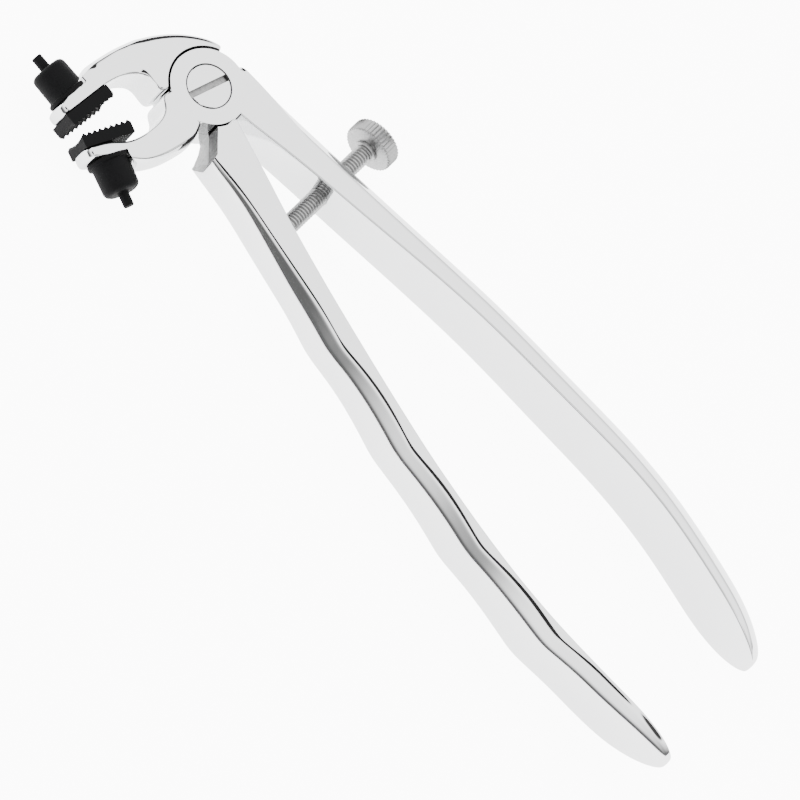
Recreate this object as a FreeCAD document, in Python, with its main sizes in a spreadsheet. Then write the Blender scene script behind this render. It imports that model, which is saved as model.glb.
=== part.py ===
import FreeCAD, Part
import math
import os
from FreeCAD import Placement, Rotation, Vector
import Sketcher

# Soft-jaw pliers: two forged levers in a half-lap joint on a slotted pivot screw, two moulded
# rubber jaw pads plugged through eyes in the jaws, and a knurled thumb screw through one handle
# whose tip meets the other handle and sets how far the tool closes.
#
# Frame: millimetres, with the origin where the pivot axis meets the joint's flat back face and Z
# along that axis. The jaws reach towards +X and +Y, the handles towards -X, and the finger-grip
# handle is on the +Y side. The pieces are made about the plane where the two levers lap, and
# their placements then raise that plane to half the joint's thickness.

doc = FreeCAD.newDocument("soft_jaw_pliers")

SIZES = [
    # joint
    ("joint_thickness", 10.0, "thickness of the levers at the joint"),
    ("lap_radius", 8.1, "radius of each lever's half-thick joint disc"),
    ("lap_gap_radial", 0.5, "gap between a disc and the other lever's shoulder arc"),
    ("lap_gap_axial", 0.1, "gap between the two discs"),
    ("shank_diameter", 6.0, "pivot screw shank"),
    ("screw_head_diameter", 9.2, "pivot screw head"),
    ("screw_head_height", 2.2, "pivot screw head"),
    ("screw_thread_diameter", 5.0, "pivot screw thread, in the rear lever"),
    ("running_clearance", 0.05, "radial clearance of the pivot screw in the front lever"),
    ("slot_width", 1.3, "screwdriver slot"),
    ("slot_depth", 1.0, "screwdriver slot"),
    ("slot_angle", 72.0, "screwdriver slot, from the X axis"),
    # handles
    ("handle_length", 155.5, "pivot to the end of each handle"),
    ("grip_depth", 16.5, "widest depth of the handles along Z"),
    ("shank_depth", 14.1, "depth of the handles where the grip begins"),
    ("neck_depth", 12.1, "depth of the handles where they leave the joint"),
    ("tongue_length", 16.0, "rounded end of each handle"),
    ("smooth_grip_thickness", 7.4, "smooth handle, inner face to crown"),
    ("finger_grip_thickness", 5.6, "finger-grip handle, inner face to crown"),
    ("crest_height", 0.9, "crests between the finger grooves"),
    ("crest_station", 48.5, "first crest, from the pivot"),
    ("groove_pitch", 23.1, "crest to crest"),
    ("edge_land", 1.2, "flat side of the smooth handle beside its inner face"),
    ("grip_bevel", 2.6, "bevels along the finger-grip handle"),
    ("grip_crown", 0.5, "arch of the finger-grip handle's outer face"),
    # jaws
    ("jaw_width", 8.0, "width of the jaws along Z"),
    ("jaw_bevel", 1.2, "bevel along the outer edges of the jaws"),
    ("jaw_plate", 2.7, "thickness of the jaw under the pad's rim"),
    ("eye_radius", 6.0, "rounded end of each jaw about the plug hole"),
    ("plug_hole_diameter", 5.0, "hole through each jaw eye"),
    ("seat_diameter", 9.6, "spot face round each plug hole"),
    # rubber pads
    ("pad_length", 11.3, "pad along the jaw"),
    ("pad_width", 7.8, "pad along Z"),
    ("pad_height", 2.95, "pad from its seat to the tips of its teeth"),
    ("tooth_count", 9, "teeth along the pad"),
    ("tooth_height", 0.55, "depth between the teeth"),
    ("pad_hollow", 0.6, "depth of the hollow across the toothed face"),
    ("upper_pad_shift", -0.15, "upper pad's middle from its plug, along the seat"),
    ("lower_pad_shift", 0.35, "lower pad's middle from its plug, along the seat"),
    ("tooth_gap_span", 60.0, "turn of the tooth gaps about the hollow's axis, in degrees"),
    ("plug_clearance", 0.05, "radial clearance of the plug's neck in its hole"),
    ("rim_diameter", 9.0, "rim of the plug against the jaw"),
    ("rim_height", 1.0, "rim of the plug"),
    ("bulb_diameter", 7.6, "bulb of the plug"),
    ("bulb_end", 9.9, "seat to the end of the bulb"),
    ("bulb_rounding", 1.3, "rounded end of the bulb"),
    ("tail_diameter", 2.2, "pull tail on the bulb"),
    ("tail_length", 3.0, "pull tail on the bulb"),
    # thumb screw
    ("stud_diameter", 4.0, "threaded stud"),
    ("stud_clearance", 0.05, "radial clearance of the stud in the smooth handle"),
    ("stud_station", 30.3, "distance of the stud from the pivot along the handle"),
    ("stud_tilt", 2.8, "lean of the stud from the Y axis"),
    ("stud_tip_gap", 0.15, "stud's tip to the finger-grip handle's inner face"),
    ("knob_reach", 17.0, "knob's near face, from the X axis"),
    ("spigot_diameter", 3.0, "end of the stud inside the knob"),
    ("spigot_length", 2.0, "end of the stud inside the knob"),
    ("spigot_gap", 0.05, "between the stud and the knob, all round"),
    ("knob_diameter", 10.8, "knurled knob"),
    ("knob_thickness", 3.75, "knurled knob"),
    ("knob_bevel", 0.3, "edges of the knob"),
    ("knob_cone", 0.45, "rise of the knob's near face from its collar to its edge"),
    ("collar_diameter", 5.0, "collar under the knob"),
    ("collar_height", 0.7, "collar under the knob"),
    ("knurl_count", 40, "grooves round the knob"),
    ("knurl_depth", 0.25, "grooves round the knob"),
]

sheet = doc.addObject("Spreadsheet::Sheet", "Sizes")
for row, (name, value, note) in enumerate(SIZES, start=1):
    sheet.set("A%d" % row, name)
    sheet.set("B%d" % row, str(value))
    sheet.set("C%d" % row, note)
    sheet.setAlias("B%d" % row, name)
doc.recompute()


def size(name):
    """A driving size, read from the sheet."""
    return float(sheet.get(name))


# ---------------------------------------------------------------- shared sizes and helpers

HALF_JOINT = size("joint_thickness") / 2
HANDLE_START = 9.0          # where the handles' own sections begin, from the pivot
NECK_STATION = 34.0         # where the neck ends and the handle widens faster
GRIP_STATION = 62.0         # where the grip begins


def on_circle(radius, degrees):
    angle = math.radians(degrees)
    return Vector(radius * math.cos(angle), radius * math.sin(angle), 0)


def spline(points):
    curve = Part.BSplineCurve()
    curve.interpolate(points)
    return curve.toShape()


def polyline(points):
    return [Part.makeLine(a, b) for a, b in zip(points, points[1:])]


def prism(edges, low, high):
    """A solid between two heights on a closed outline in the XY plane."""
    face = Part.Face(Part.Wire(Part.__sortEdges__(edges)))
    face.translate(Vector(0, 0, low))
    return face.extrude(Vector(0, 0, high - low))


def linear(value, stations):
    """Straight-line reading of (station, size) pairs."""
    for (a, low), (b, high) in zip(stations, stations[1:]):
        if value <= b:
            return low + (high - low) * (value - a) / (b - a)
    return stations[-1][1]


def blend(value, stations):
    """Reading of (station, size) pairs with the corners between the stretches rounded off."""
    window = [-6, -4, -2, 0, 2, 4, 6]
    return sum(linear(value + shift, stations) for shift in window) / len(window)


def half_depth(station):
    """Half of a handle's depth along Z, before its rounded end."""
    grip_start = size("handle_length") - size("tongue_length")
    return blend(station, [(HANDLE_START, HALF_JOINT), (NECK_STATION, size("neck_depth") / 2),
                           (GRIP_STATION, size("shank_depth") / 2), (grip_start, size("grip_depth") / 2)])


def end_factor(station):
    """Falls from 1 to 0 over the rounded end of a handle, as a quarter of an ellipse."""
    into_end = station - (size("handle_length") - size("tongue_length"))
    if into_end <= 0:
        return 1.0
    return math.sqrt(max(0.0, 1.0 - (into_end / size("tongue_length")) ** 2))


def curve_height(points, station):
    """Height of a smooth curve through (share of the handle's length, height) at a station."""
    curve = Part.BSplineCurve()
    curve.interpolate([Vector(share * size("handle_length"), height, 0) for share, height in points])
    cut = Part.Line(Vector(station, -100, 0), Vector(station, 100, 0)).toShape(-200, 200)
    return cut.distToShape(curve.toShape())[1][0][0].y


# Inner faces of the handles, as (share of the handle's length, height), from the joint outwards.
SMOOTH_INNER = [(0.0, -0.3), (0.06, -0.3), (0.26, -2.0), (0.48, -3.1), (0.67, -1.7), (0.84, 3.2), (1.0, 9.2)]
FINGER_INNER = [(0.0, -2.1), (0.06, 1.3), (0.26, 14.3), (0.45, 24.5), (0.64, 32.6), (0.81, 36.6), (1.0, 37.3)]
END_SHARES = (0.45, 0.7, 0.86, 0.95, 0.99)      # sections along the rounded end of a handle


def handle_section(station, inner, side, flank, crown):
    """A closed section across a handle: straight flanks down from the inner face, then an arch.

    flank holds (distance out from the inner face, height) and crown is the top of the arch.
    """
    def place(out, up):
        return Vector(-station, inner + side * out, up)
    upper = [place(out, up) for out, up in flank]
    lower = [place(out, -up) for out, up in reversed(flank)]
    edges = polyline(upper) + [Part.Arc(upper[-1], place(crown, 0), lower[0]).toShape()]
    edges += polyline(lower) + [Part.makeLine(lower[-1], upper[0])]
    return Part.Wire(edges)


def handle_stations(first, spaced):
    """Sections at the given places and along the rounded end."""
    grip_end = size("handle_length") - size("tongue_length")
    ends = [grip_end + size("tongue_length") * share for share in END_SHARES]
    return [first] + [s for s in spaced if first < s < grip_end - 3] + [grip_end] + ends


def smooth_handle():
    """Handle with a flat inner face and an arched back."""
    wires = []
    thickness = size("smooth_grip_thickness")
    for station in handle_stations(1.0, [5, HANDLE_START, 15, 22, 30, 38, 48, 60, 75, 90, 105, 120, 132]):
        factor = end_factor(station)
        shrink = 0.25 + 0.75 * factor
        half = half_depth(station) * factor
        thick = blend(station, [(1, thickness + 2.5), (9, thickness + 2.2), (40, thickness + 0.7),
                                (60, thickness)]) * shrink
        land = blend(station, [(1, thick - 1.4), (9, thick - 1.7), (34, size("edge_land") + 1.0),
                               (60, size("edge_land"))]) * shrink
        flank = [(0, half), (land, half)]
        wires.append(handle_section(station, curve_height(SMOOTH_INNER, station), -1, flank, thick))
    return Part.makeLoft(wires, True, False)


def groove_rise(station):
    """Height of the finger grooves' crests at a station, rounded in the grooves."""
    turns = (station - size("crest_station")) / size("groove_pitch")
    if not -0.5 < turns < 3.5:
        return 0.0
    return size("crest_height") * (1 - abs(math.sin(math.pi * turns)))


def finger_handle():
    """Handle with a flat inner face, bevelled flanks and four finger grooves along its back."""
    wires = []
    thickness = size("finger_grip_thickness") - size("grip_crown")
    pitch = size("groove_pitch")
    grooves = [size("crest_station") + pitch * quarter / 4 for quarter in range(-2, 15)]
    for station in handle_stations(5.0, [HANDLE_START, 15, 22, 30] + grooves + [136]):
        factor = end_factor(station)
        shrink = 0.25 + 0.75 * factor
        half = half_depth(station) * factor
        edge = (blend(station, [(5, thickness + 5.6), (10, thickness + 4.9), (17, thickness + 3.4),
                                (27, thickness + 1.9), (42, thickness + 1.0), (60, thickness),
                                (100, thickness - 0.2), (139, thickness - 0.6)])
                + groove_rise(station)) * shrink
        bevel = blend(station, [(5, 1.0), (20, 1.3), (55, size("grip_bevel"))]) * shrink
        flank = [(0, half), (edge - bevel, half), (edge, half - bevel * factor / shrink)]
        crown = edge + size("grip_crown") * shrink
        wires.append(handle_section(station, curve_height(FINGER_INNER, station), 1, flank, crown))
    return Part.makeLoft(wires, True, False)


# ---------------------------------------------------------------- jaws

OUTWARD = {"upper": -7.5, "lower": 154.5}       # direction of each plug, degrees from X
SEAT = {"upper": Vector(15.68, 20.9, 0), "lower": Vector(6.93, 23.84, 0)}
TIP_SIDE = {"upper": 1, "lower": -1}            # the jaw's tip lies on this side, along the seat
TAPER_START, TAPER_END = 8.0, 15.0              # the jaws narrow between these heights


def seat_frame(jaw):
    """Local frame of a jaw's seat: X outwards along the plug, Z up."""
    return Placement(SEAT[jaw], Rotation(Vector(0, 0, 1), OUTWARD[jaw]))


def seat_point(jaw, along, out):
    """A point of a jaw: along the seat towards the tip, and out from the seat."""
    return seat_frame(jaw).multVec(Vector(out, along * TIP_SIDE[jaw], 0))


def narrowed(solid):
    """Narrows a jaw along Z from the joint's thickness to the jaws' width."""
    half_jaw = size("jaw_width") / 2
    upper = [(-60, HALF_JOINT), (TAPER_START, HALF_JOINT), (TAPER_END, half_jaw), (60, half_jaw)]
    outline = [Vector(-60, y, z) for y, z in upper] + [Vector(-60, y, -z) for y, z in reversed(upper)]
    return solid.common(Part.Face(Part.makePolygon(outline + outline[:1])).extrude(Vector(120, 0, 0)))


def rounded_tip(jaw):
    """What is cut from a jaw's end so that it is round about the plug's axis."""
    reach = 14.0
    side = TIP_SIDE[jaw]
    block = Part.makeBox(2 * reach, reach, 2 * reach, Vector(-reach, 0 if side > 0 else -reach, -reach))
    round_end = Part.makeCylinder(size("eye_radius"), 2 * reach, Vector(-reach, 0, 0), Vector(1, 0, 0))
    cutter = block.cut(round_end)
    cutter.Placement = seat_frame(jaw)
    return cutter


def bevelled_jaw(front, back_points):
    """A jaw on its plan outline, bevelled along both edges of its back.

    front holds the edges of the side that faces the other jaw, from the joint to the tip, and
    back_points lead along the back from the tip to the joint.
    """
    back = spline(back_points)
    ends = [Part.makeLine(front[-1].Vertexes[-1].Point, back_points[0]),
            Part.makeLine(back_points[-1], front[0].Vertexes[0].Point)]
    jaw = prism(front + [back] + ends, -HALF_JOINT, HALF_JOINT)
    rims = [edge for edge in jaw.Edges if abs(edge.Length - back.Length) < 1e-3]
    return narrowed(jaw.makeChamfer(size("jaw_bevel"), rims))


def lower_jaw():
    tip = size("eye_radius") + 1
    hook = [Vector(5.45, 8.9, 0), Vector(3.3, 10.0, 0), Vector(2.25, 12.2, 0), Vector(2.5, 16.0, 0),
            Vector(3.9, 20.0, 0), seat_point("lower", -1.0, 0)]
    front = [Part.makeLine(Vector(4.9, 6.2, 0), hook[0]), spline(hook),
             Part.makeLine(hook[-1], seat_point("lower", tip, 0))]
    back = [seat_point("lower", tip, 1.9), seat_point("lower", 4.6, 2.6), Vector(2.2, 24.9, 0),
            Vector(-1.1, 21.6, 0), Vector(-3.5, 18.2, 0), Vector(-4.8, 14.0, 0), Vector(-5.3, 10.4, 0),
            Vector(-4.2, 7.0, 0)]
    return bevelled_jaw(front, back)


def upper_jaw():
    tip = size("eye_radius") + 1
    hook = [Vector(6.15, 8.6, 0), Vector(8.1, 7.7, 0), Vector(9.9, 7.5, 0), Vector(12.3, 8.9, 0),
            Vector(14.3, 12.0, 0), seat_point("upper", -6.0, 0.2)]
    front = [Part.makeLine(Vector(5.55, 5.8, 0), hook[0]), spline(hook),
             Part.makeLine(hook[-1], seat_point("upper", -4.5, 0)),
             Part.makeLine(seat_point("upper", -4.5, 0), seat_point("upper", tip, 0))]
    back = [seat_point("upper", tip, 1.9), seat_point("upper", 4.6, 2.6), Vector(20.1, 17.5, 0),
            Vector(19.6, 11.8, 0), Vector(17.4, 4.6, 0), Vector(13.9, -1.5, 0), Vector(9.6, -6.3, 0),
            Vector(6.5, -8.5, 0), Vector(3.9, -9.6, 0)]
    front.insert(0, Part.makeLine(Vector(2.7, -6.9, 0), Vector(5.55, 5.8, 0)))
    return bevelled_jaw(front, back)


# ---------------------------------------------------------------- forged lever blanks

POCKET_WALL = [Vector(-6.1, 4.9, 0), Vector(-7.0, 5.7, 0), Vector(-10.3, 10.0, 0), Vector(-11.0, 13.0, 0)]


def joint_disc():
    return Part.makeCylinder(size("lap_radius"), 2 * HALF_JOINT, Vector(0, 0, -HALF_JOINT))


def front_blank():
    """Front lever before it is machined: lower jaw, joint disc and smooth handle."""
    jaw = lower_jaw().cut(rounded_tip("lower"))
    return joint_disc().fuse([jaw, smooth_handle()]).removeSplitter()


def rear_blank():
    """Rear lever before it is machined: upper jaw, joint disc and finger-grip handle."""
    jaw = upper_jaw().cut(rounded_tip("upper"))
    pocket = POCKET_WALL + [Vector(0, 16, 0), Vector(0, 4.9, 0)]
    handle = finger_handle().cut(prism(polyline(pocket + pocket[:1]), -20, 20))
    return joint_disc().fuse([jaw, handle]).removeSplitter()


def add(kind, name, placement=None, **expressions):
    """A new object of the document, with its sizes bound to the sheet."""
    piece = doc.addObject(kind, name)
    piece.Label = name
    if placement:
        piece.Placement = placement
    for prop, text in expressions.items():
        piece.setExpression(prop, text.replace("$", "Sizes."))
    return piece


def drill(name, radius, depth, placement=None):
    """A cylinder to cut with, from its base along its own Z."""
    return add("Part::Cylinder", name, placement=placement, Radius=radius, Height=depth)


def machined(label, blank_shape, cutters):
    """A forged blank with its machined cuts."""
    blank = add("Part::Feature", label + "_blank")
    blank.Shape = blank_shape
    tools = add("Part::MultiFuse", label + "_cuts")
    tools.Shapes = cutters
    lever = add("Part::Cut", label)
    lever.Base = blank
    lever.Tool = tools
    lever.Refine = True
    return lever


FAR = "4 * $joint_thickness"


def eye_cuts(jaw):
    """The hole through a jaw's eye and the flat spot round it on the plug's side."""
    along_plug = seat_frame(jaw).multiply(Placement(Vector(), Rotation(Vector(0, 1, 0), 90)))
    hole = drill(jaw + "_plug_hole", "$plug_hole_diameter / 2", FAR,
                 along_plug.multiply(Placement(Vector(0, 0, -2), Rotation())))
    spot = drill(jaw + "_seat_spot", "$seat_diameter / 2", FAR, along_plug)
    spot.Placement = along_plug.multiply(Placement(Vector(0, 0, size("jaw_plate")), Rotation()))
    return [hole, spot]


# ---------------------------------------------------------------- the two levers

stud_foot = Vector(-size("stud_station"), 0, 0)
STUD_FRAME = Placement(stud_foot, Rotation(Vector(0, 0, 1), -size("stud_tilt"))).multiply(
    Placement(Vector(), Rotation(Vector(1, 0, 0), 90)))      # Z runs out towards the knob

relief = drill("front_relief", "$lap_radius + $lap_gap_radial", FAR)
relief.setExpression("Placement.Base.z", "Sizes.lap_gap_axial / 2 - 4 * Sizes.joint_thickness")
bore = drill("front_bore", "$shank_diameter / 2 + $running_clearance", FAR)
bore.setExpression("Placement.Base.z", "-2 * Sizes.joint_thickness")
head_seat = drill("front_head_seat", "$screw_head_diameter / 2 + $running_clearance", FAR)
head_seat.setExpression("Placement.Base.z", "Sizes.joint_thickness / 2 - Sizes.screw_head_height")
stud_hole = drill("stud_hole", "$stud_diameter / 2 + $stud_clearance", FAR,
                  STUD_FRAME.multiply(Placement(Vector(0, 0, -5), Rotation())))
front_lever = machined("front_lever", front_blank(),
                       [relief, bore, head_seat, stud_hole] + eye_cuts("lower"))

relief = drill("rear_relief", "$lap_radius + $lap_gap_radial", FAR)
relief.setExpression("Placement.Base.z", "-Sizes.lap_gap_axial / 2")
tapping = drill("rear_tapping", "$screw_thread_diameter / 2", FAR)
tapping.setExpression("Placement.Base.z", "-2 * Sizes.joint_thickness")
rear_lever = machined("rear_lever", rear_blank(), [relief, tapping] + eye_cuts("upper"))
doc.recompute()

# ---------------------------------------------------------------- bound sketches


def body_with(label, placement=None):
    body = doc.addObject("PartDesign::Body", label)
    body.Label = label
    if placement:
        body.Placement = placement
    return body


def origin_plane(body, role):
    return next(item for item in body.Origin.OriginFeatures if item.Role == role)


def sketch_outline(body, name, role, corners, offset=None):
    """A closed sketch of straight lines whose corners are expressions on the sheet."""
    sketch = body.newObject("Sketcher::SketchObject", name)
    sketch.AttachmentSupport = (origin_plane(body, role), [""])
    sketch.MapMode = "FlatFace"
    if offset:
        sketch.setExpression("AttachmentOffset.Base.z", offset.replace("$", "Sizes."))
    count = len(corners)
    spread = [Vector(math.cos(2 * math.pi * i / count), math.sin(2 * math.pi * i / count), 0)
              for i in range(count)]
    for i in range(count):
        sketch.addGeometry(Part.LineSegment(spread[i], spread[(i + 1) % count]), False)
    for i in range(count):
        sketch.addConstraint(Sketcher.Constraint("Coincident", i, 2, (i + 1) % count, 1))
    for i, (across, up) in enumerate(corners):
        for kind, text in (("DistanceX", across), ("DistanceY", up)):
            index = sketch.addConstraint(Sketcher.Constraint(kind, -1, 1, i, 1, 1.0))
            sketch.setExpression("Constraints[%d]" % index, text.replace("$", "Sizes."))
    return sketch


def sketch_circle(body, name, role, radius, height):
    """A sketch of one circle centred on the plane's upright axis."""
    sketch = body.newObject("Sketcher::SketchObject", name)
    sketch.AttachmentSupport = (origin_plane(body, role), [""])
    sketch.MapMode = "FlatFace"
    sketch.addGeometry(Part.Circle(Vector(), Vector(0, 0, 1), 1.0), False)
    sketch.addConstraint(Sketcher.Constraint("PointOnObject", 0, 3, -2))
    for constraint, text in ((Sketcher.Constraint("Radius", 0, 1.0), radius),
                             (Sketcher.Constraint("DistanceY", -1, 1, 0, 3, 1.0), height)):
        index = sketch.addConstraint(constraint)
        sketch.setExpression("Constraints[%d]" % index, text.replace("$", "Sizes."))
    return sketch


def turned(body, name, corners):
    """A solid turned about the body's Z axis from (radius, height) corners."""
    sketch = sketch_outline(body, name + "_profile", "XZ_Plane", corners)
    feature = body.newObject("PartDesign::Revolution", name)
    feature.Profile = sketch
    feature.ReferenceAxis = (sketch, ["V_Axis"])
    feature.Angle = 360
    return feature


# ---------------------------------------------------------------- pivot screw

pivot_screw = body_with("pivot_screw")
turned(pivot_screw, "screw", [
    ("0", "-$joint_thickness / 2"), ("$screw_thread_diameter / 2", "-$joint_thickness / 2"),
    ("$screw_thread_diameter / 2", "-$lap_gap_axial / 2"), ("$shank_diameter / 2", "-$lap_gap_axial / 2"),
    ("$shank_diameter / 2", "$joint_thickness / 2 - $screw_head_height + $lap_gap_axial / 2"),
    ("$screw_head_diameter / 2", "$joint_thickness / 2 - $screw_head_height + $lap_gap_axial / 2"),
    ("$screw_head_diameter / 2", "$joint_thickness / 2"), ("0", "$joint_thickness / 2")])
slot = sketch_outline(pivot_screw, "slot_outline", "XY_Plane", [
    ("-$screw_head_diameter", "-$slot_width / 2"), ("$screw_head_diameter", "-$slot_width / 2"),
    ("$screw_head_diameter", "$slot_width / 2"), ("-$screw_head_diameter", "$slot_width / 2")],
    "$joint_thickness / 2 - $slot_depth")
slot.setExpression("AttachmentOffset.Rotation.Angle", "Sizes.slot_angle")
pocket = pivot_screw.newObject("PartDesign::Pocket", "slot")
pocket.Profile = slot
pocket.Reversed = True
pocket.setExpression("Length", "Sizes.slot_depth + 1")

# ---------------------------------------------------------------- thumb screw

# The tip's flat end is half as wide as the stud, and its edge nearest the pivot meets the handle.
lean = curve_height(FINGER_INNER, size("stud_station")) * math.tan(math.radians(size("stud_tilt")))
tip_edge = size("stud_station") - size("stud_diameter") / 4 - lean
TIP = "-(%.4f - $stud_tip_gap)" % curve_height(FINGER_INNER, tip_edge)

adjusting_stud = body_with("adjusting_stud", STUD_FRAME)
turned(adjusting_stud, "stud", [
    ("0", TIP), ("$stud_diameter / 4", TIP), ("$stud_diameter / 2", TIP + " + $stud_diameter / 4"),
    ("$stud_diameter / 2", "$knob_reach - $collar_height"),
    ("$collar_diameter / 2", "$knob_reach - $collar_height"),
    ("$collar_diameter / 2", "$knob_reach - $spigot_gap"),
    ("$spigot_diameter / 2", "$knob_reach - $spigot_gap"),
    ("$spigot_diameter / 2", "$knob_reach + $spigot_length"), ("0", "$knob_reach + $spigot_length")])

knurled_knob = body_with("knurled_knob", STUD_FRAME)
turned(knurled_knob, "knob", [
    ("0", "$knob_reach + $spigot_length + $spigot_gap"),
    ("$spigot_diameter / 2 + $spigot_gap", "$knob_reach + $spigot_length + $spigot_gap"),
    ("$spigot_diameter / 2 + $spigot_gap", "$knob_reach"), ("$collar_diameter / 2", "$knob_reach"),
    ("$knob_diameter / 2 - $knob_bevel", "$knob_reach + $knob_cone"),
    ("$knob_diameter / 2", "$knob_reach + $knob_cone + $knob_bevel"),
    ("$knob_diameter / 2", "$knob_reach + $knob_thickness - $knob_bevel"),
    ("$knob_diameter / 2 - $knob_bevel", "$knob_reach + $knob_thickness"),
    ("0", "$knob_reach + $knob_thickness")])
notch = sketch_outline(knurled_knob, "knurl_outline", "XY_Plane", [
    ("$knob_diameter / 2 + 0.1", "-$knurl_depth * 1.2"), ("$knob_diameter / 2 + 0.1", "$knurl_depth * 1.2"),
    ("$knob_diameter / 2 - $knurl_depth", "0")], "$knob_reach")
knurl = knurled_knob.newObject("PartDesign::Pocket", "knurl")
knurl.Profile = notch
knurl.Reversed = True
knurl.setExpression("Length", "Sizes.knob_thickness")
doc.recompute()
around = knurled_knob.newObject("PartDesign::PolarPattern", "knurling")
around.Originals = [knurl]
around.Axis = (notch, ["N_Axis"])
around.Angle = 360
around.setExpression("Occurrences", "Sizes.knurl_count")
knurled_knob.Tip = around

# ---------------------------------------------------------------- moulded rubber pads


def rubber_pad(jaw):
    """A toothed pad on a jaw's seat with its plug through the eye, all one moulding.

    In the body's frame Z runs outwards along the plug, X along the seat and Y across the jaw;
    the seat is at z = 0.
    """
    across = Placement(Vector(), Rotation(Vector(0, 0, 1), 90)).multiply(
        Placement(Vector(), Rotation(Vector(1, 0, 0), 90)))
    body = body_with(jaw + "_pad", seat_frame(jaw).multiply(across))
    low = "$%s_pad_shift - $pad_length / 2" % jaw
    high = "$%s_pad_shift + $pad_length / 2" % jaw
    side = sketch_outline(body, jaw + "_side", "XZ_Plane", [
        (low, "-$pad_height"), (high, "-$pad_height"), (high, "0"), (low, "0")])
    block = body.newObject("PartDesign::Pad", jaw + "_block")
    block.Profile = side
    block.Midplane = True
    block.setExpression("Length", "Sizes.pad_width")
    doc.recompute()

    hollow_radius = "(($pad_width / 2) ^ 2 + $pad_hollow ^ 2) / (2 * $pad_hollow)"
    axis_height = "-($pad_height - $pad_hollow + %s)" % hollow_radius
    hollow = sketch_circle(body, jaw + "_hollow_outline", "YZ_Plane", hollow_radius, axis_height)
    trough = body.newObject("PartDesign::Pocket", jaw + "_hollow")
    trough.Profile = hollow
    trough.Midplane = True
    trough.setExpression("Length", "Sizes.pad_length * 4")
    doc.recompute()

    pitch = "$pad_length / $tooth_count"
    face = "-$pad_height + $pad_hollow"
    gap = sketch_outline(body, jaw + "_tooth_gap", "XZ_Plane", [
        (low + " - %s / 2" % pitch, face), (low, face + " + $tooth_height"),
        (low + " + %s / 2" % pitch, face), (low, face + " - $tooth_height")])
    gap.addGeometry(Part.LineSegment(Vector(-1, 0, 0), Vector(1, 0, 0)), True)
    gap.addConstraint(Sketcher.Constraint("Horizontal", 4))
    for point in (1, 2):
        index = gap.addConstraint(Sketcher.Constraint("DistanceX", -1, 1, 4, point, 2.0 * point - 3))
    index = gap.addConstraint(Sketcher.Constraint("DistanceY", -1, 1, 4, 1, -1.0))
    gap.setExpression("Constraints[%d]" % index, axis_height.replace("$", "Sizes."))
    gaps = body.newObject("PartDesign::Groove", jaw + "_gap")
    gaps.Profile = gap
    gaps.ReferenceAxis = (gap, ["Axis0"])
    gaps.Midplane = True
    gaps.setExpression("Angle", "Sizes.tooth_gap_span")
    doc.recompute()
    row = body.newObject("PartDesign::LinearPattern", jaw + "_teeth")
    row.Originals = [gaps]
    row.Direction = (gap, ["H_Axis"])
    row.setExpression("Length", "Sizes.pad_length")
    row.setExpression("Occurrences", "Sizes.tooth_count + 1")
    body.Tip = row
    doc.recompute()

    plug_radius = "$plug_hole_diameter / 2 - $plug_clearance"
    plug = turned(body, jaw + "_plug", [
        ("0", "-$pad_height / 2"), (plug_radius, "-$pad_height / 2"), (plug_radius, "$jaw_plate"),
        ("$rim_diameter / 2", "$jaw_plate"), ("$rim_diameter / 2", "$jaw_plate + $rim_height"),
        ("$bulb_diameter / 2", "$jaw_plate + $rim_height"),
        ("$bulb_diameter / 2", "$bulb_end"), ("$tail_diameter / 2", "$bulb_end"),
        ("$tail_diameter / 2", "$bulb_end + $tail_length"), ("0", "$bulb_end + $tail_length")])
    doc.recompute()
    for index, edge in enumerate(plug.Shape.Edges, start=1):
        rim = Vector(0, 0, size("bulb_end"))
        if edge.CenterOfMass.isEqual(rim, 0.01) and edge.Length > math.pi * size("bulb_diameter") * 0.99:
            rounding = body.newObject("PartDesign::Fillet", jaw + "_rounding")
            rounding.Base = (plug, ["Edge%d" % index])
            rounding.setExpression("Radius", "Sizes.bulb_rounding")
    return body


upper_pad = rubber_pad("upper")
lower_pad = rubber_pad("lower")
doc.recompute()

# ---------------------------------------------------------------- check and write

PIECES = [front_lever, rear_lever, pivot_screw, adjusting_stud, knurled_knob, upper_pad, lower_pad]
RAISED = Placement(Vector(0, 0, HALF_JOINT), Rotation())

for piece in PIECES:
    piece.Placement = RAISED.multiply(piece.Placement)
doc.recompute()

for item in doc.Objects:
    if "Invalid" in item.State or "Error" in item.State:
        raise RuntimeError("failed: " + item.Label)
os.makedirs("parts", exist_ok=True)
for piece in PIECES:
    shape = piece.Shape
    if shape.isNull() or not shape.isValid():
        raise RuntimeError("bad shape: " + piece.Label)
    print("%-16s %8.1f mm3  %d solid(s)" % (piece.Label, shape.Volume, len(shape.Solids)))
for piece in PIECES:
    piece.Shape.exportStep("parts/%s.step" % piece.Label)
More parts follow.
